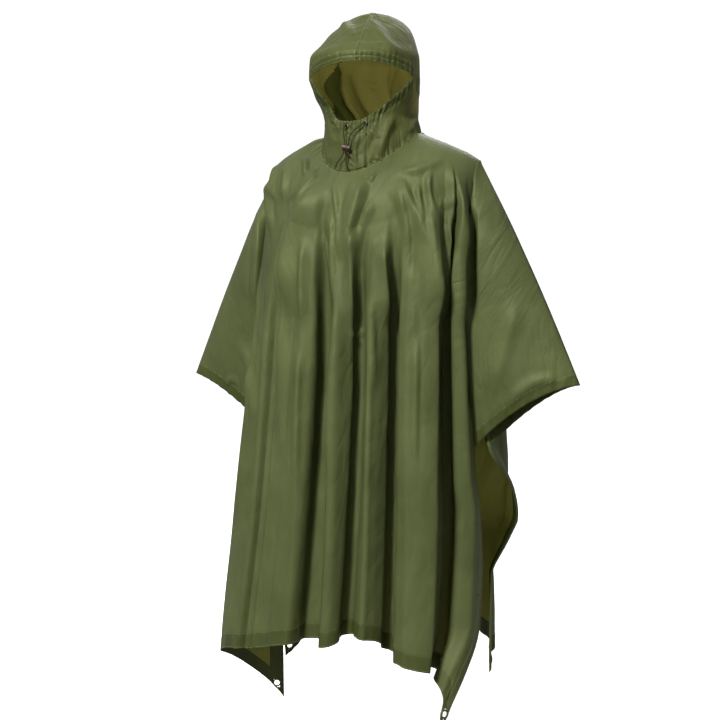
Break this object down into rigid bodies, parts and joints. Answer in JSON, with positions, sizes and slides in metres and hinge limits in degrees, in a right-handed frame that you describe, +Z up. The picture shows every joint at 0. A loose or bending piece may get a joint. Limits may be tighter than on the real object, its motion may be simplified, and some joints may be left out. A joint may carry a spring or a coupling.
{
  "type": "rain poncho",
  "caption": "Hooded rain poncho in the hollow form it takes when worn, with the hood up, open sides, a drawstring hood and corner eyelets.",
  "frame": {"origin": "the middle of the base of the neck, where the wearer's shoulders carry the cloth", "axes": "+Z up, -Y the way the wearer faces, +X the wearer's left"},
  "size_m": [0.9916, 0.4631, 1.6262],
  "materials": {
    "taffeta": "thin coated taffeta with a soft sheen, olive green",
    "hem_taffeta": "the same taffeta, turned in and stitched",
    "eyelet_metal": "blackened brass",
    "toggle_plastic": "brown plastic, satin",
    "knot_cord": "brown cord",
    "cord": "dark olive braided cord"
  },
  "bodies": {
    "root": {"front_panel": "taffeta", "back_panel": "taffeta", "hood_left": "taffeta", "hood_right": "taffeta", "throat_placket": "taffeta", "casing_brim_left": "hem_taffeta", "casing_brim_right": "hem_taffeta", "casing_chin_left": "hem_taffeta", "casing_chin_right": "hem_taffeta", "hem_front": "hem_taffeta", "hem_back": "hem_taffeta", "side_hem_front_left": "hem_taffeta", "side_hem_front_right": "hem_taffeta", "side_hem_back_left": "hem_taffeta", "side_hem_back_right": "hem_taffeta", "sleeve_hem_front_left": "hem_taffeta", "sleeve_hem_front_right": "hem_taffeta", "sleeve_hem_back_left": "hem_taffeta", "sleeve_hem_back_right": "hem_taffeta", "corner_eyelet_front_left": "eyelet_metal", "corner_eyelet_front_right": "eyelet_metal", "corner_eyelet_back_left": "eyelet_metal", "corner_eyelet_back_right": "eyelet_metal", "press_stud_left": "eyelet_metal", "press_stud_right": "eyelet_metal", "throat_eyelet_left": "eyelet_metal", "throat_eyelet_right": "eyelet_metal", "toggle": "toggle_plastic", "knot_left": "knot_cord", "knot_right": "knot_cord", "cord_left": "cord", "cord_right": "cord"}
  },
  "joints": []
}
